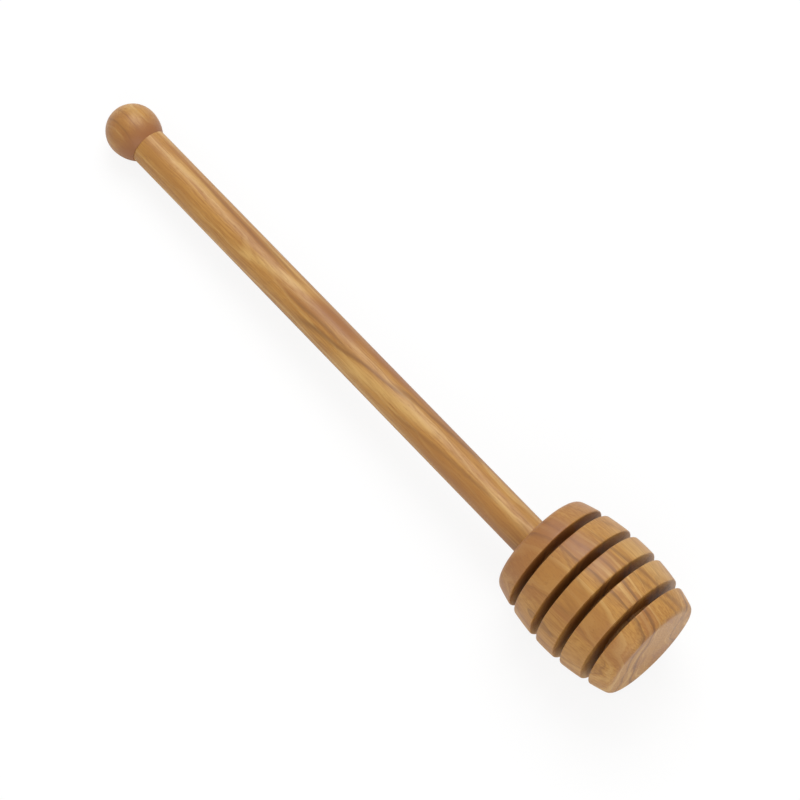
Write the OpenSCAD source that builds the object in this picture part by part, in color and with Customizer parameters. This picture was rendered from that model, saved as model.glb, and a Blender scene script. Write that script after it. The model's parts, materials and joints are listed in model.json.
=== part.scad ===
// Honey dipper in olive wood, made of three turned pieces that are glued together.
// A blind socket in the head holds the handle, and a tenon on the handle holds the knob.
// The dipper lies along X with its tip towards +X. The floor is at z = 0, and the belly
// of the head and the knob both touch it, so the head's axis leans by a few degrees.

/* [Head] */
// Length of the head, from its tip face to its top
head_length = 38.8; // [37:0.1:48]
// Diameter of the head at its belly, where it is widest
belly_diameter = 35; // [31:0.1:48]
// Distance from the tip face to the belly
belly_height = 19.1; // [16:0.1:23]
// Radius of the arc that swells the side of the head
swell_radius = 58; // [48:0.5:120]
// Rounding between the side and the tip face
tip_rounding = 1.8; // [0.5:0.1:2.4]
// Rounding between the side and the top
top_rounding = 2.1; // [0.5:0.1:2.4]

/* [Grooves] */
// Distances from the tip face to the middle of each groove
groove_heights = [6.7, 15.05, 23.05, 31.7]; // [5:0.05:34]
// Width of each groove between its walls
groove_width = 2.1; // [1.4:0.1:3]
// Diameter of the core that the grooves leave
core_diameter = 17; // [15:0.1:24]
// Rounding of the rims beside each groove
rim_rounding = 0.35; // [0.1:0.05:0.7]

/* [Handle] */
// Diameter of the handle
handle_diameter = 10.1; // [8:0.1:11]
// Length of handle that shows between the head and the knob
handle_reach = 147.8; // [100:0.2:220]
// Depth of the socket that holds the handle in the head
socket_depth = 14; // [10:0.5:20]
// Distance of the socket's mouth from the head's axis
socket_offset = 0.85; // [0:0.05:1.2]
// Angle between the handle and the head's axis, in degrees
socket_lean = 1.5; // [0:0.1:2]
// Size of the bevel that leads the handle into the socket
lead_in = 0.6; // [0.2:0.1:1.5]

/* [Knob] */
// Diameter of the knob at its widest
knob_diameter = 14.3; // [12.5:0.1:20]
// Radius of the arc from the widest place of the knob down to the handle
neck_radius = 10.2; // [8:0.1:16]
// Distance of the knob's axis from the handle's axis
knob_offset = 0.2; // [0:0.05:0.4]
// Diameter of the tenon that holds the knob
tenon_diameter = 6; // [4:0.1:7]
// Length of the tenon
tenon_length = 7; // [4:0.5:9]
// Size of the bevel on the end of the tenon
tenon_bevel = 0.4; // [0.1:0.1:1]

/* [Glue joints] */
// Gap left for glue around the handle in its socket and around the tenon
glue_gap = 0.05; // [0.02:0.01:0.1]
// Room left for glue past the end of the tenon
glue_room = 0.5; // [0.2:0.1:1.5]

/* [Hidden] */

// Facets of the round surfaces, and of the wide arc of the head's side
$fn = 96;
swell_facets = 240;
// How far a cut runs past the surface that it opens
overcut = 1;

belly_radius = belly_diameter / 2;
core_radius = core_diameter / 2;
handle_radius = handle_diameter / 2;
knob_radius = knob_diameter / 2;
tenon_radius = tenon_diameter / 2;

// Middle of the arc of the head's side, as a radius and a height above the tip face
swell_centre = [belly_radius - swell_radius, belly_height];

// Faces of the discs between the grooves, from the tip face to the top
disc_bottoms = [0, for (height = groove_heights) height + groove_width / 2];
disc_tops = [for (height = groove_heights) height - groove_width / 2, head_length];
last_disc = len(groove_heights);

// Length of the knob's neck, from its seat on the handle to its widest place
neck_length = sqrt(neck_radius ^ 2 - (neck_radius - knob_radius + handle_radius) ^ 2);

// Distance along the head's axis from the belly to the middle of the knob
knob_span = head_length - belly_height
    + (handle_reach + neck_length) * cos(socket_lean) + knob_offset * sin(socket_lean);

// The floor is the tangent that the arc of the belly and the ball of the knob share
swell_rise = swell_radius - belly_radius;
floor_lean = atan2(knob_span, swell_rise)
    - acos((swell_radius - knob_radius) / norm([knob_span, swell_rise]));
belly_axis_height = swell_radius - swell_rise * cos(floor_lean);

// Reach of the dipper along X, from the belly to the tip and to the end of the knob
tip_corner = corner_centre(0, 1, tip_rounding);
tip_reach = (belly_height - tip_rounding) * cos(floor_lean)
    + tip_corner.x * sin(floor_lean) + tip_rounding;
knob_reach = knob_span * cos(floor_lean) + knob_radius;

// Centre of the rounding between a disc's face and its side.
// The disc lies above the face where side is 1, and below it where side is -1.
function corner_centre(face, side, rounding) =
    let (height = face + side * rounding)
    [swell_centre.x + sqrt((swell_radius - rounding) ^ 2 - (height - swell_centre.y) ^ 2), height];

// Point at which a rounding runs into the arc of the side
function side_point(corner, rounding) =
    swell_centre + (corner - swell_centre) * swell_radius / (swell_radius - rounding);

// Half of a disc's section, between two faces and under the arc of the side
module disc_section(bottom, top, bottom_rounding, top_rounding) {
    low_corner = corner_centre(bottom, 1, bottom_rounding);
    high_corner = corner_centre(top, -1, top_rounding);
    low_side = side_point(low_corner, bottom_rounding);
    high_side = side_point(high_corner, top_rounding);
    polygon([[0, bottom], [low_corner.x, bottom], low_side,
             high_side, [high_corner.x, top], [0, top]]);
    translate(low_corner) circle(r = bottom_rounding);
    translate(high_corner) circle(r = top_rounding);
    intersection() {
        translate(swell_centre) circle(r = swell_radius, $fn = swell_facets);
        translate([0, low_side.y]) square([belly_diameter, high_side.y - low_side.y]);
    }
}

// Half of the head's section: the discs on their core
module head_section() {
    square([core_radius, head_length]);
    for (i = [0 : last_disc])
        disc_section(disc_bottoms[i], disc_tops[i],
                     i == 0 ? tip_rounding : rim_rounding,
                     i == last_disc ? top_rounding : rim_rounding);
}

// Half of the knob's section, with the seat for the handle at height 0
module knob_section() {
    intersection() {
        translate([0, neck_length]) circle(r = knob_radius);
        translate([0, neck_length]) square([knob_radius, knob_radius]);
    }
    intersection() {
        translate([knob_radius - neck_radius, neck_length]) circle(r = neck_radius);
        square([knob_radius, neck_length]);
    }
}

// Lays the dipper down, from standing on its tip face around the Z axis
module lying() {
    translate([(knob_reach - tip_reach) / 2, 0, belly_axis_height])
        rotate([0, -90 - floor_lean, 0])
            translate([0, 0, -belly_height]) children();
}

// Starts at the mouth of the socket and runs along the handle
module along_handle() {
    translate([0, -socket_offset, head_length]) rotate([-socket_lean, 0, 0]) children();
}

module head() {
    color("#b98850") lying() difference() {
        rotate_extrude() head_section();
        along_handle() translate([0, 0, -socket_depth])
            cylinder(r = handle_radius + glue_gap, h = socket_depth + overcut);
    }
}

module handle() {
    color("#c49752") lying() along_handle() {
        translate([0, 0, -socket_depth])
            cylinder(r1 = handle_radius - lead_in, r2 = handle_radius, h = lead_in);
        translate([0, 0, lead_in - socket_depth])
            cylinder(r = handle_radius, h = socket_depth - lead_in + handle_reach);
        translate([0, 0, handle_reach]) cylinder(r = tenon_radius, h = tenon_length - tenon_bevel);
        translate([0, 0, handle_reach + tenon_length - tenon_bevel])
            cylinder(r1 = tenon_radius, r2 = tenon_radius - tenon_bevel, h = tenon_bevel);
    }
}

module knob() {
    color("#ba8a49") lying() along_handle() translate([0, 0, handle_reach]) difference() {
        translate([0, -knob_offset, 0]) rotate_extrude() knob_section();
        translate([0, 0, -overcut])
            cylinder(r = tenon_radius + glue_gap, h = overcut + tenon_length + glue_room);
    }
}

head();
handle();
knob();
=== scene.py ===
"""Honey dipper in olive wood: the looks of its three turned pieces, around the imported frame.

Lengths are in metres in the frame, and in millimetres inside the wood's pattern.
"""

import json
import math

import bpy
from bpy.props import FloatProperty, FloatVectorProperty, PointerProperty
from mathutils import Color, Euler, Matrix, Vector


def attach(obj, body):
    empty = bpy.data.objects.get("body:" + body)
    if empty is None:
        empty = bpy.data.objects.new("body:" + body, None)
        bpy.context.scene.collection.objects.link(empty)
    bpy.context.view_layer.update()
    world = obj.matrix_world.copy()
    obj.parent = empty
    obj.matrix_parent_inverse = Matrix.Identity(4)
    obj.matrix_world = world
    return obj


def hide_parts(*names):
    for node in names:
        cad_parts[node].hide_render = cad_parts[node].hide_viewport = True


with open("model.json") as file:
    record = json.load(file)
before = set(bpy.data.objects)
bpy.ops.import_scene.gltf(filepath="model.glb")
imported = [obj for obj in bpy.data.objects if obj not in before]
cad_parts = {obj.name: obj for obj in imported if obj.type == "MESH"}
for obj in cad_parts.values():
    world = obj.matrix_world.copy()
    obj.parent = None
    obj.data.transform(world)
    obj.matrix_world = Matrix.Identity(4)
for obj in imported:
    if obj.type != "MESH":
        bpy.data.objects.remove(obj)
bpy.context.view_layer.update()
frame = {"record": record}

bl_info = {
    "name": "Honey Dipper",
    "version": (1, 0, 0),
    "blender": (4, 5, 0),
    "location": "View3D > Sidebar > Dipper",
    "description": "Turns a honey dipper's head, handle and knob in olive wood",
    "category": "Add Mesh",
}

MM = 0.001
WHOLE_TURN = 2 * math.pi
TIP_FACE = frame["record"]["mounts"][0]

# Steps of a whole turn
HEAD_STEPS = 240
HANDLE_STEPS = 96
KNOB_STEPS = 128
DRILL_STEPS = 96

# Steps of the arcs in the outlines
SIDE_STEPS = 12
END_ROUNDING_STEPS = 8
RIM_ROUNDING_STEPS = 4
NECK_STEPS = 16
BALL_STEPS = 28

# Longest edges in the straight stretches of an outline
FACE_EDGE = 1.1 * MM
WALL_EDGE = 0.6 * MM
ROD_EDGE = 1.2 * MM

MERGE_DISTANCE = 0.01 * MM
SMOOTH_BELOW = math.radians(35)
# How far a cut runs past the surface that it opens
OVERCUT = MM

# Size and place of the soft patches in which the turning strays
HEAD_PATCHES = (0.012, (0.004, 0.007, 0.002))
KNOB_PATCHES = (0.008, (0.003, 0.001, 0.004))

# Scales of the wood's noises per millimetre: twice across the grain, then along it
DRIFT_SCALE = (0.055, 0.055, 0.016)
RIPPLE_SCALE = (0.3, 0.3, 0.07)
BROAD_SCALE = (0.11, 0.11, 0.012)
FIBRE_SCALE = (2.4, 2.4, 0.09)
FINE_SCALE = (7.0, 7.0, 0.35)
RING_SCALE = 0.42
# How far the ripple bends the grain, in millimetres
RIPPLE_SIZE = 1.6
# How much the rings change along the grain
RING_ALONG = 0.02

# Centre of the rings beside each piece and how far the rings stray, in millimetres
HEAD_RINGS = ((-6.0, 26.0), 16.0)
HANDLE_RINGS = ((30.0, -9.0), 7.0)
KNOB_RINGS = ((12.0, 14.0), 9.0)

# Where each mask begins and where it is full, on the noise that it comes from
VEIN_RANGE = (0.56, 0.72)
PALE_RANGE = (0.46, 0.30)
TAN_RANGE = (0.48, 0.66)
PORE_RANGE = (0.60, 0.74)
GOLD_RANGE = (0.3, 0.7)

# Strengths of the wood's layers
PALE_STRENGTH = 0.55
TAN_STRENGTH = 0.55
VEIN_STRENGTH = 0.62
PORE_STRENGTH = 0.38

# Streaks: colour, strength, start, end, width and softness, in millimetres. Start and end are each
# (along the grain, across it on the piece's level Y). Along counts from the head's tip face, from the
# mouth of the socket for the handle, and from the knob's seat.
HEAD_STREAKS = (
    ("vein", 0.55, (0.0, 10.6), (26.0, 7.2), 1.0, 0.5),
    ("vein", 0.40, (0.0, 8.2), (26.0, 5.6), 0.5, 0.4),
    ("tan", 0.70, (18.0, 3.6), (38.0, 1.0), 6.0, 1.6),
    ("amber", 0.70, (4.0, -8.0), (34.0, -7.0), 6.0, 1.8),
    ("pale", 0.45, (8.0, 12.5), (24.0, 12.0), 4.0, 1.2),
    ("vein", 0.35, (20.0, -4.6), (30.0, -1.2), 0.6, 0.4),
)
HANDLE_STREAKS = (
    ("tan", 0.60, (142.0, 3.4), (104.0, 2.4), 1.6, 0.9),
    ("vein", 0.45, (130.0, 2.7), (98.0, 2.0), 0.5, 0.4),
    ("pale", 0.50, (140.0, 1.2), (122.0, 1.6), 1.6, 0.8),
    ("amber", 0.60, (149.0, -1.6), (126.0, -3.4), 2.0, 0.8),
    ("vein", 0.40, (104.0, 3.0), (90.0, 2.6), 0.6, 0.4),
    ("pale", 0.60, (107.0, -2.6), (86.0, 2.4), 1.8, 0.9),
    ("tan", 0.85, (84.0, 1.6), (68.0, 2.6), 3.8, 1.2),
    ("vein", 0.50, (90.0, -1.8), (68.0, -0.9), 0.5, 0.4),
    ("vein", 0.60, (84.0, -4.0), (64.0, -1.1), 0.8, 0.5),
    ("vein", 0.60, (66.0, -1.2), (48.0, 1.2), 0.7, 0.5),
    ("pale", 0.65, (68.0, -3.6), (36.0, 0.4), 2.2, 0.9),
    ("tan", 0.80, (66.0, 3.8), (26.0, 4.4), 2.6, 0.9),
    ("vein", 0.60, (52.0, 1.6), (24.0, 4.2), 0.6, 0.4),
    ("vein", 0.45, (47.0, -3.4), (14.0, -0.8), 0.6, 0.5),
    ("amber", 0.55, (44.0, -3.8), (6.0, -2.6), 2.6, 1.0),
    ("pale", 0.55, (16.0, -0.2), (4.0, -0.8), 1.2, 0.6),
)
KNOB_STREAKS = (
    ("amber", 0.50, (3.0, -2.6), (13.0, -3.4), 1.8, 1.0),
    ("pale", 0.45, (5.0, 1.4), (13.0, 3.0), 1.6, 0.9),
)

# How far each end of a streak fades, in millimetres
STREAK_FADE = 5.0

# Reddish ends: where the colour is full, where it has gone, and its strength
HEAD_REDDISH_TOP = (33.5, 31.0, 0.3)
# The knob's seat: partly a burn mark from turning, partly painted shade under the ball where it meets the
# handle
KNOB_SEAT_BURN_AND_SHADE = (0.4, 6.5, 1.0)

# Share of plain white in what the camera sees of the floor
FLOOR_GLOW = 0.85
KEY_PLACE = (-0.35, 0.45, 0.9)
KEY_SIZE = 0.7
FILL_PLACE = (0.7, -0.5, 0.6)
FILL_SIZE = 0.8
FLOOR_MOTTLE_SCALE = (9, 9, 9)
FLOOR_GREYS = ((0.90, 0.90, 0.90, 1), (0.92, 0.92, 0.92, 1))


class HeadSizes(bpy.types.PropertyGroup):
    """Sizes of the grooved head."""

    length: FloatProperty(
        name="Length", description="From the tip face to the top", default=0.0388, unit="LENGTH"
    )
    belly_diameter: FloatProperty(
        name="Belly diameter", description="Widest diameter", default=0.035, unit="LENGTH"
    )
    belly_height: FloatProperty(
        name="Belly height", description="From the tip face to the belly", default=0.0191, unit="LENGTH"
    )
    swell_radius: FloatProperty(
        name="Swell radius", description="Radius of the side's arc", default=0.058, unit="LENGTH"
    )
    tip_rounding: FloatProperty(
        name="Tip rounding", description="Between side and tip face", default=0.0018, unit="LENGTH"
    )
    top_rounding: FloatProperty(
        name="Top rounding", description="Between side and top", default=0.0021, unit="LENGTH"
    )
    grooves: FloatVectorProperty(
        name="Grooves",
        description="Heights of the groove centres above the tip face",
        default=(0.0067, 0.01505, 0.02305, 0.0317),
        size=4,
        unit="LENGTH",
    )
    groove_width: FloatProperty(
        name="Groove width", description="Between the groove's walls", default=0.0021, unit="LENGTH"
    )
    core_diameter: FloatProperty(
        name="Core diameter", description="At the bottom of the grooves", default=0.017, unit="LENGTH"
    )
    rim_rounding: FloatProperty(
        name="Rim rounding", description="Beside each groove", default=0.00035, unit="LENGTH"
    )
    hand_wobble: FloatProperty(
        name="Hand wobble", description="How far the turning strays", default=0.00012, unit="LENGTH"
    )


class HandleSizes(bpy.types.PropertyGroup):
    """Sizes of the handle and of its two joints."""

    diameter: FloatProperty(
        name="Diameter", description="Diameter of the handle", default=0.0101, unit="LENGTH"
    )
    reach: FloatProperty(
        name="Reach", description="Length that shows", default=0.1478, unit="LENGTH"
    )
    socket_depth: FloatProperty(
        name="Socket depth", description="Length inside the head", default=0.014, unit="LENGTH"
    )
    socket_offset: FloatProperty(
        name="Socket offset", description="From the head's axis", default=0.00085, unit="LENGTH"
    )
    socket_lean: FloatProperty(
        name="Socket lean",
        description="Angle between the handle and the head's axis",
        default=math.radians(1.5),
        subtype="ANGLE",
    )
    lead_in: FloatProperty(
        name="Lead-in", description="Bevel of the handle's foot", default=0.0006, unit="LENGTH"
    )
    tenon_diameter: FloatProperty(
        name="Tenon diameter", description="Tenon that holds the knob", default=0.006, unit="LENGTH"
    )
    tenon_length: FloatProperty(
        name="Tenon length", description="Tenon that holds the knob", default=0.007, unit="LENGTH"
    )
    tenon_bevel: FloatProperty(
        name="Tenon bevel", description="Bevel of the tenon's end", default=0.0004, unit="LENGTH"
    )
    glue_gap: FloatProperty(
        name="Glue gap", description="Gap around handle and tenon", default=0.00005, unit="LENGTH"
    )


class KnobSizes(bpy.types.PropertyGroup):
    """Sizes of the knob."""

    diameter: FloatProperty(
        name="Diameter", description="Widest diameter", default=0.0143, unit="LENGTH"
    )
    neck_radius: FloatProperty(
        name="Neck radius", description="Arc down to the handle", default=0.0102, unit="LENGTH"
    )
    offset: FloatProperty(
        name="Offset", description="From the handle's axis", default=0.0002, unit="LENGTH"
    )
    glue_room: FloatProperty(
        name="Glue room", description="Past the tenon's end", default=0.0005, unit="LENGTH"
    )
    hand_wobble: FloatProperty(
        name="Hand wobble", description="How far the turning strays", default=0.00003, unit="LENGTH"
    )


class WoodLook(bpy.types.PropertyGroup):
    """Colours of the olive wood, as they show on a screen."""

    pale: FloatVectorProperty(
        name="Pale", description="Lightest wood", default=(0.786, 0.633, 0.377), size=3, subtype="COLOR_GAMMA"
    )
    gold: FloatVectorProperty(
        name="Gold", description="Usual wood", default=(0.703, 0.513, 0.240), size=3, subtype="COLOR_GAMMA"
    )
    amber: FloatVectorProperty(
        name="Amber", description="Deeper wood", default=(0.610, 0.411, 0.172), size=3, subtype="COLOR_GAMMA"
    )
    tan: FloatVectorProperty(
        name="Tan", description="Pinkish wood", default=(0.554, 0.347, 0.172), size=3, subtype="COLOR_GAMMA"
    )
    vein: FloatVectorProperty(
        name="Vein", description="Dark veins", default=(0.396, 0.245, 0.120), size=3, subtype="COLOR_GAMMA"
    )
    roughness: FloatProperty(
        name="Roughness", description="Of the oiled surface", default=0.42, min=0.0, max=1.0
    )
    grain_depth: FloatProperty(
        name="Grain depth", description="Depth of pores and fibres", default=0.00003, unit="LENGTH"
    )


class StageLook(bpy.types.PropertyGroup):
    """Camera, floor and light."""

    azimuth: FloatProperty(
        name="Azimuth", description="Camera round the dipper", default=math.radians(46.81), subtype="ANGLE"
    )
    elevation: FloatProperty(
        name="Elevation", description="Camera above the floor", default=math.radians(70.38), subtype="ANGLE"
    )
    distance: FloatProperty(
        name="Distance", description="Camera to its aim", default=0.78335, unit="LENGTH"
    )
    aim: FloatVectorProperty(
        name="Aim", description="Point at the picture's centre", default=(0.00991, 0.00122, 0.01352), size=3
    )
    lens: FloatProperty(name="Lens", description="Focal length in millimetres", default=141.57)
    daylight: FloatProperty(name="Daylight", description="Strength of the world", default=0.62)
    key_power: FloatProperty(name="Key lamp", description="Power in watts", default=7.0, unit="POWER")
    fill_power: FloatProperty(name="Fill lamp", description="Power in watts", default=3.0, unit="POWER")
    floor_size: FloatProperty(
        name="Floor size", description="Side of the floor", default=6.0, unit="LENGTH"
    )


def place_of(axis_point, axis):
    """The matrix that stands a piece's own Z along axis, with its X as close to upright as it can be."""
    upright = Vector((0, 0, 1))
    x = (upright - axis * upright.dot(axis)).normalized()
    y = axis.cross(x)
    turn = Matrix((x, y, axis)).transposed().to_4x4()
    return Matrix.Translation(axis_point) @ turn


def head_place():
    """Where the head's tip face and axis are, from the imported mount."""
    return place_of(Vector(TIP_FACE["pos_m"]), -Vector(TIP_FACE["axis"]).normalized())


def handle_place(scene):
    """Where the mouth of the socket is, with Z along the handle."""
    sizes = scene.dipper_handle
    mouth = Matrix.Translation((0, -sizes.socket_offset, scene.dipper_head.length))
    return head_place() @ mouth @ Matrix.Rotation(-sizes.socket_lean, 4, "X")


def arc(centre, radius, start, end, steps):
    """Points of an arc in the outline's plane, with angles from the outward direction."""
    turns = [start + (end - start) * i / steps for i in range(steps + 1)]
    return [(centre[0] + radius * math.cos(a), centre[1] + radius * math.sin(a)) for a in turns]


def line(start, end, longest):
    """Points of a straight stretch, no further apart than longest, without its first point."""
    count = max(1, math.ceil(math.dist(start, end) / longest))
    return [
        tuple(a + (b - a) * i / count for a, b in zip(start, end)) for i in range(1, count + 1)
    ]


def turn_outline(name, outline, steps):
    """Draws the outline from one point by extruding it, and spins it round Z into a closed solid."""
    bpy.ops.object.select_all(action="DESELECT")
    start = (outline[0][0], 0, outline[0][1])
    bpy.ops.mesh.primitive_plane_add(size=MM, location=start)
    piece = bpy.context.object
    piece.name = piece.data.name = name
    bpy.ops.object.transform_apply(location=True)
    bpy.ops.object.mode_set(mode="EDIT")
    bpy.ops.mesh.select_all(action="SELECT")
    bpy.ops.mesh.merge(type="CENTER")
    for before, after in zip(outline, outline[1:]):
        move = (after[0] - before[0], 0, after[1] - before[1])
        bpy.ops.mesh.extrude_region_move(TRANSFORM_OT_translate={"value": move})
    bpy.ops.mesh.select_all(action="SELECT")
    bpy.ops.mesh.spin(steps=steps, angle=WHOLE_TURN, center=(0, 0, 0), axis=(0, 0, 1))
    bpy.ops.mesh.select_all(action="SELECT")
    bpy.ops.mesh.remove_doubles(threshold=MERGE_DISTANCE)
    bpy.ops.mesh.normals_make_consistent(inside=False)
    bpy.ops.object.mode_set(mode="OBJECT")
    return piece


def apply_modifier(piece, modifier):
    """Applies one modifier of the piece."""
    bpy.context.view_layer.objects.active = piece
    bpy.ops.object.modifier_apply(modifier=modifier.name)


def wobble(piece, depth, size, pattern_place):
    """Wears the surface in by up to depth, in soft patches of the given size, as hand turning does."""
    patches = bpy.data.textures.new(piece.name + "_wobble", "CLOUDS")
    patches.noise_scale = size
    patches.noise_depth = 1
    shift = bpy.data.objects.new(piece.name + "_wobble_place", None)
    bpy.context.scene.collection.objects.link(shift)
    shift.location = pattern_place
    bpy.context.view_layer.update()
    modifier = piece.modifiers.new("wobble", "DISPLACE")
    modifier.texture = patches
    modifier.texture_coords = "OBJECT"
    modifier.texture_coords_object = shift
    modifier.strength = depth
    modifier.mid_level = 1.0
    apply_modifier(piece, modifier)
    bpy.data.objects.remove(shift)


def drill(piece, place, radius, bottom, top):
    """Drills a round blind hole along the Z of place, from bottom to top."""
    bpy.ops.object.select_all(action="DESELECT")
    bpy.ops.mesh.primitive_cylinder_add(vertices=DRILL_STEPS, radius=radius, depth=top - bottom)
    bit = bpy.context.object
    bit.matrix_world = place @ Matrix.Translation((0, 0, (top + bottom) / 2))
    bpy.context.view_layer.update()
    modifier = piece.modifiers.new("hole", "BOOLEAN")
    modifier.operation = "DIFFERENCE"
    modifier.solver = "EXACT"
    modifier.object = bit
    apply_modifier(piece, modifier)
    bpy.data.objects.remove(bit)


def put(piece, place):
    """Moves the piece's mesh to its place and leaves its object at the origin."""
    piece.matrix_world = place
    bpy.ops.object.select_all(action="DESELECT")
    piece.select_set(True)
    bpy.context.view_layer.objects.active = piece
    bpy.ops.object.transform_apply(location=True, rotation=True, scale=True)


def finish_piece(piece, node, material):
    """Smooths the piece, gives it its wood and lets it stand for its CAD node."""
    bpy.ops.object.select_all(action="DESELECT")
    piece.select_set(True)
    bpy.context.view_layer.objects.active = piece
    bpy.ops.object.shade_smooth_by_angle(angle=SMOOTH_BELOW)
    piece.data.materials.clear()
    piece.data.materials.append(material)
    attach(piece, "root")
    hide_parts(node)


def linear(colour):
    """A screen colour as the shader's linear colour."""
    return (*Color(colour).from_srgb_to_scene_linear(), 1.0)


class Weave:
    """Adds nodes to a material's tree and joins them."""

    def __init__(self, tree):
        self.tree = tree

    def node(self, kind, values=(), **settings):
        """A new node with these settings, and with these values or links on its inputs."""
        made = self.tree.nodes.new(kind)
        for name, value in settings.items():
            setattr(made, name, value)
        for place, value in dict(values).items():
            self.feed(made.inputs[place], value)
        return made

    def feed(self, socket, value):
        """Links value to the socket where it is a socket, and writes it there where it isn't."""
        if isinstance(value, bpy.types.NodeSocket):
            self.tree.links.new(value, socket)
        else:
            socket.default_value = value

    def math(self, operation, first, second=0.0, third=0.0):
        """A sum on numbers."""
        values = {0: first, 1: second, 2: third}
        return self.node("ShaderNodeMath", values, operation=operation).outputs[0]

    def vector(self, operation, first, second=(0, 0, 0)):
        """A sum on vectors, which gives a number only for the length."""
        made = self.node("ShaderNodeVectorMath", {0: first, 1: second}, operation=operation)
        return made.outputs["Value" if operation == "LENGTH" else "Vector"]

    def noise(self, where, detail=2.0, roughness=0.5):
        """A cloudy noise from 0 to 1."""
        values = {"Vector": where, "Scale": 1.0, "Detail": detail, "Roughness": roughness}
        return self.node("ShaderNodeTexNoise", values).outputs["Fac"]

    def fade(self, value, low, high, start=0.0, end=1.0):
        """A smooth step from start at low to end at high."""
        values = {"Value": value, "From Min": low, "From Max": high, "To Min": start, "To Max": end}
        return self.node("ShaderNodeMapRange", values, interpolation_type="SMOOTHSTEP").outputs["Result"]

    def mix(self, factor, first, second):
        """The first colour, with factor of the second over it."""
        made = self.node("ShaderNodeMix", data_type="RGBA")
        self.feed(made.inputs["Factor"], factor)
        self.feed(made.inputs[6], first)
        self.feed(made.inputs[7], second)
        return made.outputs[2]


def streak(weave, across, along, start, end, width, soft):
    """How much a point lies in a streak that runs between two points, each (along, across) in mm."""
    span = end[0] - start[0]
    share = weave.math("DIVIDE", weave.math("SUBTRACT", along, start[0]), span)
    middle = weave.math("MULTIPLY_ADD", share, end[1] - start[1], start[1])
    off = weave.math("ABSOLUTE", weave.math("SUBTRACT", across, middle))
    band = weave.fade(off, width / 2 + soft, max(width / 2 - soft, 0.0))
    ends = STREAK_FADE / abs(span)
    into = weave.fade(share, -ends, ends)
    out = weave.fade(share, 1 + ends, 1 - ends)
    return weave.math("MULTIPLY", band, weave.math("MULTIPLY", into, out))


def stray(weave, grain, scale, detail, size):
    """A shift across the grain, by up to half of size in millimetres to either side."""
    where = weave.vector("MULTIPLY", grain, scale)
    noise = weave.node("ShaderNodeTexNoise", {"Vector": where, "Scale": 1.0, "Detail": detail})
    shift = weave.vector("SUBTRACT", noise.outputs["Color"], (0.5, 0.5, 0.5))
    return weave.vector("MULTIPLY", shift, (size, size, 0))


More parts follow.
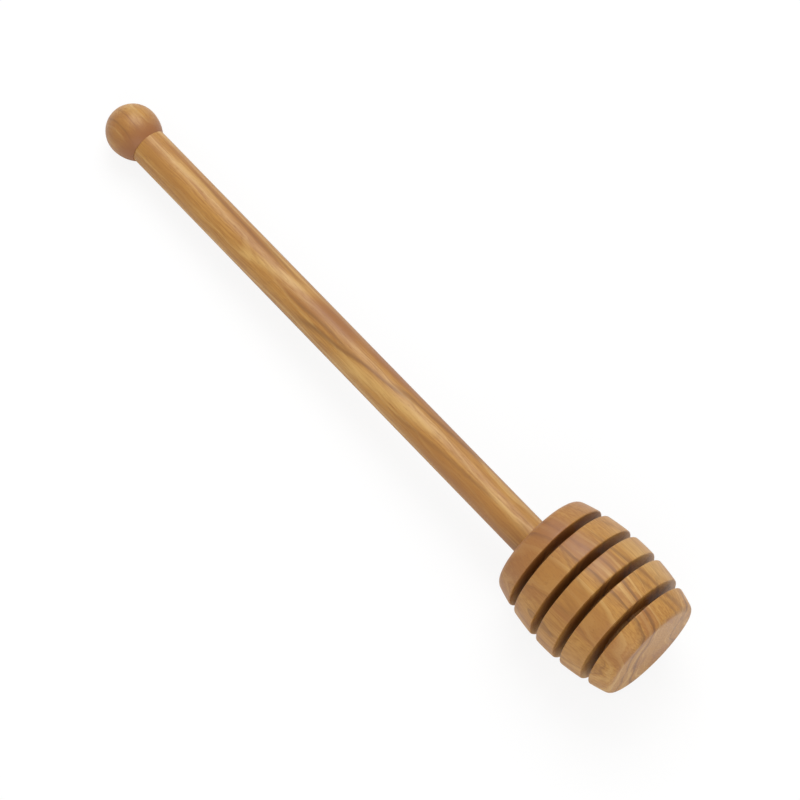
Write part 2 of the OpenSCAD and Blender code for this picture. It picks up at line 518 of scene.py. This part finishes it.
def olive_wood(name, place, look, rings, streaks, reddish_end=None):
    """Olive wood for one piece: rings round a pith that lies beside it, fibres, pores and its own streaks.

    place is the matrix of the piece, whose Z is the grain.
    """
    pith, warp_size = rings
    material = bpy.data.materials.new(name)
    material.use_nodes = True
    tree = material.node_tree
    weave = Weave(tree)
    shader = tree.nodes["Principled BSDF"]
    colours = {key: linear(getattr(look, key)) for key in ("pale", "gold", "amber", "tan", "vein")}

    here = weave.node("ShaderNodeTexCoord").outputs["Object"]
    centred = weave.node("ShaderNodeMapping", {"Vector": here}, vector_type="TEXTURE")
    centred.inputs["Location"].default_value = place.to_translation()
    centred.inputs["Rotation"].default_value = place.to_euler()
    centred.inputs["Scale"].default_value = (MM, MM, MM)
    grain = centred.outputs["Vector"]

    rippled = weave.vector("ADD", grain, stray(weave, grain, RIPPLE_SCALE, 3.0, RIPPLE_SIZE))
    flowing = weave.vector("ADD", rippled, stray(weave, grain, DRIFT_SCALE, 2.0, warp_size))

    from_pith = weave.vector("SUBTRACT", flowing, (pith[0], pith[1], 0))
    from_pith = weave.vector("MULTIPLY", from_pith, (1, 1, RING_ALONG))
    ring = weave.vector("LENGTH", from_pith)
    ring_noise = weave.node(
        "ShaderNodeTexNoise",
        {"W": ring, "Scale": RING_SCALE, "Detail": 4.0, "Roughness": 0.62},
        noise_dimensions="1D",
    ).outputs["Fac"]
    vein_mask = weave.fade(ring_noise, *VEIN_RANGE)
    pale_mask = weave.fade(ring_noise, *PALE_RANGE)
    broad = weave.noise(weave.vector("MULTIPLY", flowing, BROAD_SCALE))
    tan_mask = weave.fade(broad, *TAN_RANGE)
    fibre = weave.noise(weave.vector("MULTIPLY", rippled, FIBRE_SCALE), 4.0, 0.6)
    fine = weave.noise(weave.vector("MULTIPLY", rippled, FINE_SCALE))
    pores = weave.fade(fine, *PORE_RANGE)

    colour = weave.mix(weave.fade(fibre, *GOLD_RANGE), colours["amber"], colours["gold"])
    colour = weave.mix(weave.math("MULTIPLY", pale_mask, PALE_STRENGTH), colour, colours["pale"])
    colour = weave.mix(weave.math("MULTIPLY", tan_mask, TAN_STRENGTH), colour, colours["tan"])
    colour = weave.mix(weave.math("MULTIPLY", vein_mask, VEIN_STRENGTH), colour, colours["vein"])
    parts = weave.node("ShaderNodeSeparateXYZ", {0: rippled})
    for tone, strength, start, end, width, soft in streaks:
        mask = streak(weave, parts.outputs["Y"], parts.outputs["Z"], start, end, width, soft)
        broken = weave.fade(fibre, 0.25, 0.6, 0.55, 1.0)
        mask = weave.math("MULTIPLY", mask, weave.math("MULTIPLY", broken, strength))
        colour = weave.mix(mask, colour, colours[tone])
    # Tan towards one end of the piece; on the knob this is partly a burn mark from turning and partly painted
    # shade where the ball meets the handle
    if reddish_end:
        low, high, strength = reddish_end
        plain = weave.node("ShaderNodeSeparateXYZ", {0: grain}).outputs["Z"]
        mask = weave.math("MULTIPLY", weave.fade(plain, high, low), strength)
        colour = weave.mix(mask, colour, colours["tan"])
    colour = weave.mix(weave.math("MULTIPLY", pores, PORE_STRENGTH), colour, colours["vein"])

    rough = weave.fade(fibre, 0.2, 0.8, look.roughness + 0.06, look.roughness - 0.05)
    height = weave.math("SUBTRACT", fibre, weave.math("MULTIPLY", pores, 0.8))
    bump = weave.node("ShaderNodeBump", {"Height": height, "Strength": 0.6, "Distance": look.grain_depth})
    weave.feed(shader.inputs["Base Color"], colour)
    weave.feed(shader.inputs["Roughness"], rough)
    weave.feed(shader.inputs["Normal"], bump.outputs["Normal"])
    shader.inputs["Specular IOR Level"].default_value = 0.45
    return material


def head_outline(sizes):
    """The head's half section, from its tip face's centre over the discs to the top's centre."""
    belly = sizes.belly_diameter / 2
    core = sizes.core_diameter / 2
    centre = (belly - sizes.swell_radius, sizes.belly_height)
    half = sizes.groove_width / 2
    bottoms = [0, *(g + half for g in sizes.grooves)]
    tops = [*(g - half for g in sizes.grooves), sizes.length]
    last = len(tops) - 1
    points = [(0.0, 0.0)]
    for i, (bottom, top) in enumerate(zip(bottoms, tops)):
        low = sizes.tip_rounding if i == 0 else sizes.rim_rounding
        high = sizes.top_rounding if i == last else sizes.rim_rounding
        low_steps = END_ROUNDING_STEPS if i == 0 else RIM_ROUNDING_STEPS
        high_steps = END_ROUNDING_STEPS if i == last else RIM_ROUNDING_STEPS
        corners = []
        for rounding, height in ((low, bottom + low), (high, top - high)):
            run = math.sqrt((sizes.swell_radius - rounding) ** 2 - (height - centre[1]) ** 2)
            corners.append((centre[0] + run, height))
        lean = [math.atan2(c[1] - centre[1], c[0] - centre[0]) for c in corners]
        if i > 0:
            points += line(points[-1], (core, bottom), WALL_EDGE)
        points += line(points[-1], (corners[0][0], bottom), FACE_EDGE)
        points += arc(corners[0], low, -math.pi / 2, lean[0], low_steps)[1:]
        points += arc(centre, sizes.swell_radius, lean[0], lean[1], SIDE_STEPS)[1:]
        points += arc(corners[1], high, lean[1], math.pi / 2, high_steps)[1:]
        end = 0.0 if i == last else core
        points += line(points[-1], (end, top), FACE_EDGE)
    return points


def handle_outline(sizes):
    """The handle's half section, from its foot in the socket to the end of its tenon."""
    radius = sizes.diameter / 2
    tenon = sizes.tenon_diameter / 2
    foot = -sizes.socket_depth
    end = sizes.reach + sizes.tenon_length
    points = [(0.0, foot)]
    for corner in (
        (radius - sizes.lead_in, foot),
        (radius, foot + sizes.lead_in),
        (radius, sizes.reach),
        (tenon, sizes.reach),
        (tenon, end - sizes.tenon_bevel),
        (tenon - sizes.tenon_bevel, end),
        (0.0, end),
    ):
        points += line(points[-1], corner, ROD_EDGE)
    return points


def knob_outline(sizes, handle):
    """The knob's half section, from its seat on the handle to its end."""
    radius = sizes.diameter / 2
    seat = handle.diameter / 2
    inward = sizes.neck_radius - radius
    neck = math.sqrt(sizes.neck_radius**2 - (inward + seat) ** 2)
    start = -math.asin(neck / sizes.neck_radius)
    points = [(0.0, 0.0)]
    points += line(points[-1], (seat, 0.0), WALL_EDGE)
    points += arc((-inward, neck), sizes.neck_radius, start, 0.0, NECK_STEPS)[1:]
    points += arc((0.0, neck), radius, 0.0, math.pi / 2, BALL_STEPS)[1:]
    return points


class DIPPER_OT_turn_head(bpy.types.Operator):
    """Turns the grooved head and drills its socket"""

    bl_idname = "dipper.turn_head"
    bl_label = "Turn Head"

    def execute(self, context):
        scene = context.scene
        handle = scene.dipper_handle
        head = turn_outline("turned_head", head_outline(scene.dipper_head), HEAD_STEPS)
        wobble(head, scene.dipper_head.hand_wobble, *HEAD_PATCHES)
        put(head, head_place())
        drill(
            head,
            handle_place(scene),
            handle.diameter / 2 + handle.glue_gap,
            -handle.socket_depth,
            OVERCUT,
        )
        wood = olive_wood(
            "head_olive_wood",
            head_place(),
            scene.dipper_wood,
            HEAD_RINGS,
            HEAD_STREAKS,
            HEAD_REDDISH_TOP,
        )
        finish_piece(head, "head", wood)
        return {"FINISHED"}


class DIPPER_OT_turn_handle(bpy.types.Operator):
    """Turns the handle with its tenon"""

    bl_idname = "dipper.turn_handle"
    bl_label = "Turn Handle"

    def execute(self, context):
        scene = context.scene
        place = handle_place(scene)
        handle = turn_outline("turned_handle", handle_outline(scene.dipper_handle), HANDLE_STEPS)
        put(handle, place)
        wood = olive_wood(
            "handle_olive_wood", place, scene.dipper_wood, HANDLE_RINGS, HANDLE_STREAKS
        )
        finish_piece(handle, "handle", wood)
        return {"FINISHED"}


class DIPPER_OT_turn_knob(bpy.types.Operator):
    """Turns the knob and drills it for the tenon"""

    bl_idname = "dipper.turn_knob"
    bl_label = "Turn Knob"

    def execute(self, context):
        scene = context.scene
        sizes = scene.dipper_knob
        handle = scene.dipper_handle
        seat = handle_place(scene) @ Matrix.Translation((0, 0, handle.reach))
        own_place = seat @ Matrix.Translation((0, -sizes.offset, 0))
        knob = turn_outline("turned_knob", knob_outline(sizes, handle), KNOB_STEPS)
        wobble(knob, sizes.hand_wobble, *KNOB_PATCHES)
        put(knob, own_place)
        hole = handle.tenon_diameter / 2 + handle.glue_gap
        drill(knob, seat, hole, -OVERCUT, handle.tenon_length + sizes.glue_room)
        wood = olive_wood(
            "knob_olive_wood",
            own_place,
            scene.dipper_wood,
            KNOB_RINGS,
            KNOB_STREAKS,
            # Burn mark with painted shade at the knob's seat
            KNOB_SEAT_BURN_AND_SHADE,
        )
        finish_piece(knob, "knob", wood)
        return {"FINISHED"}


def area_lamp(name, place, aim, size, power):
    """A square lamp that faces aim."""
    bpy.ops.object.select_all(action="DESELECT")
    bpy.ops.object.light_add(type="AREA", location=place)
    lamp = bpy.context.object
    lamp.name = name
    lamp.data.shape = "SQUARE"
    lamp.data.size = size
    lamp.data.energy = power
    lamp.rotation_euler = (Vector(place) - Vector(aim)).to_track_quat("Z", "Y").to_euler()


def white_world(scene, strength):
    """Even light from all round, with a white background for the camera and for gloss."""
    world = bpy.data.worlds.new("studio")
    scene.world = world
    world.use_nodes = True
    weave = Weave(world.node_tree)
    rays = weave.node("ShaderNodeLightPath")
    seen = weave.math("MAXIMUM", rays.outputs["Is Camera Ray"], rays.outputs["Is Glossy Ray"])
    background = world.node_tree.nodes["Background"]
    background.inputs["Color"].default_value = (1, 1, 1, 1)
    weave.feed(background.inputs["Strength"], weave.fade(seen, 0.0, 1.0, strength, 1.0))


def white_floor_material():
    """A matt white floor that shows nearly white to the camera and keeps the shadow."""
    material = bpy.data.materials.new("studio_floor")
    material.use_nodes = True
    weave = Weave(material.node_tree)
    shader = material.node_tree.nodes["Principled BSDF"]
    grain = weave.node("ShaderNodeTexCoord").outputs["Object"]
    mottle = weave.noise(weave.vector("MULTIPLY", grain, FLOOR_MOTTLE_SCALE))
    shade = weave.mix(mottle, *FLOOR_GREYS)
    weave.feed(shader.inputs["Base Color"], shade)
    shader.inputs["Roughness"].default_value = 0.9
    shader.inputs["Specular IOR Level"].default_value = 0.1
    glow = weave.node("ShaderNodeEmission", {"Color": (1, 1, 1, 1), "Strength": 1.0})
    camera = weave.node("ShaderNodeLightPath").outputs["Is Camera Ray"]
    mixed = weave.node("ShaderNodeMixShader", {0: weave.math("MULTIPLY", camera, FLOOR_GLOW)})
    weave.feed(mixed.inputs[1], shader.outputs[0])
    weave.feed(mixed.inputs[2], glow.outputs[0])
    output = material.node_tree.nodes["Material Output"]
    weave.feed(output.inputs["Surface"], mixed.outputs[0])
    return material


class DIPPER_OT_set_stage(bpy.types.Operator):
    """Sets the camera, the floor and the light"""

    bl_idname = "dipper.set_stage"
    bl_label = "Set Stage"

    def execute(self, context):
        scene = context.scene
        look = scene.dipper_stage
        bpy.ops.object.select_all(action="DESELECT")
        bpy.ops.mesh.primitive_plane_add(size=look.floor_size)
        floor = bpy.context.object
        floor.name = "floor"
        floor.data.materials.append(white_floor_material())

        away = Euler((math.pi / 2 - look.elevation, 0, look.azimuth)).to_matrix() @ Vector((0, 0, 1))
        aim = Vector(look.aim)
        bpy.ops.object.camera_add(location=aim + away * look.distance)
        camera = bpy.context.object
        camera.rotation_euler = away.to_track_quat("Z", "Y").to_euler()
        camera.data.lens = look.lens
        scene.camera = camera

        white_world(scene, look.daylight)
        area_lamp("key_lamp", KEY_PLACE, aim, KEY_SIZE, look.key_power)
        area_lamp("fill_lamp", FILL_PLACE, aim, FILL_SIZE, look.fill_power)
        scene.view_settings.view_transform = "Standard"
        return {"FINISHED"}


class DIPPER_PT_panel(bpy.types.Panel):
    """Lists the dipper's pieces"""

    bl_idname = "DIPPER_PT_panel"
    bl_label = "Honey Dipper"
    bl_space_type = "VIEW_3D"
    bl_region_type = "UI"
    bl_category = "Dipper"

    def draw(self, context):
        column = self.layout.column()
        for operator in OPERATORS:
            column.operator(operator.bl_idname)


OPERATORS = (DIPPER_OT_turn_head, DIPPER_OT_turn_handle, DIPPER_OT_turn_knob, DIPPER_OT_set_stage)
GROUPS = {
    "dipper_head": HeadSizes,
    "dipper_handle": HandleSizes,
    "dipper_knob": KnobSizes,
    "dipper_wood": WoodLook,
    "dipper_stage": StageLook,
}
CLASSES = (*GROUPS.values(), *OPERATORS, DIPPER_PT_panel)


def register():
    for made in CLASSES:
        bpy.utils.register_class(made)
    for name, group in GROUPS.items():
        setattr(bpy.types.Scene, name, PointerProperty(type=group))


def unregister():
    for name in GROUPS:
        delattr(bpy.types.Scene, name)
    for made in reversed(CLASSES):
        bpy.utils.unregister_class(made)


def main():
    register()
    bpy.ops.dipper.turn_head()
    bpy.ops.dipper.turn_handle()
    bpy.ops.dipper.turn_knob()
    bpy.ops.dipper.set_stage()
    bpy.context.view_layer.update()


if __name__ == "__main__":
    main()
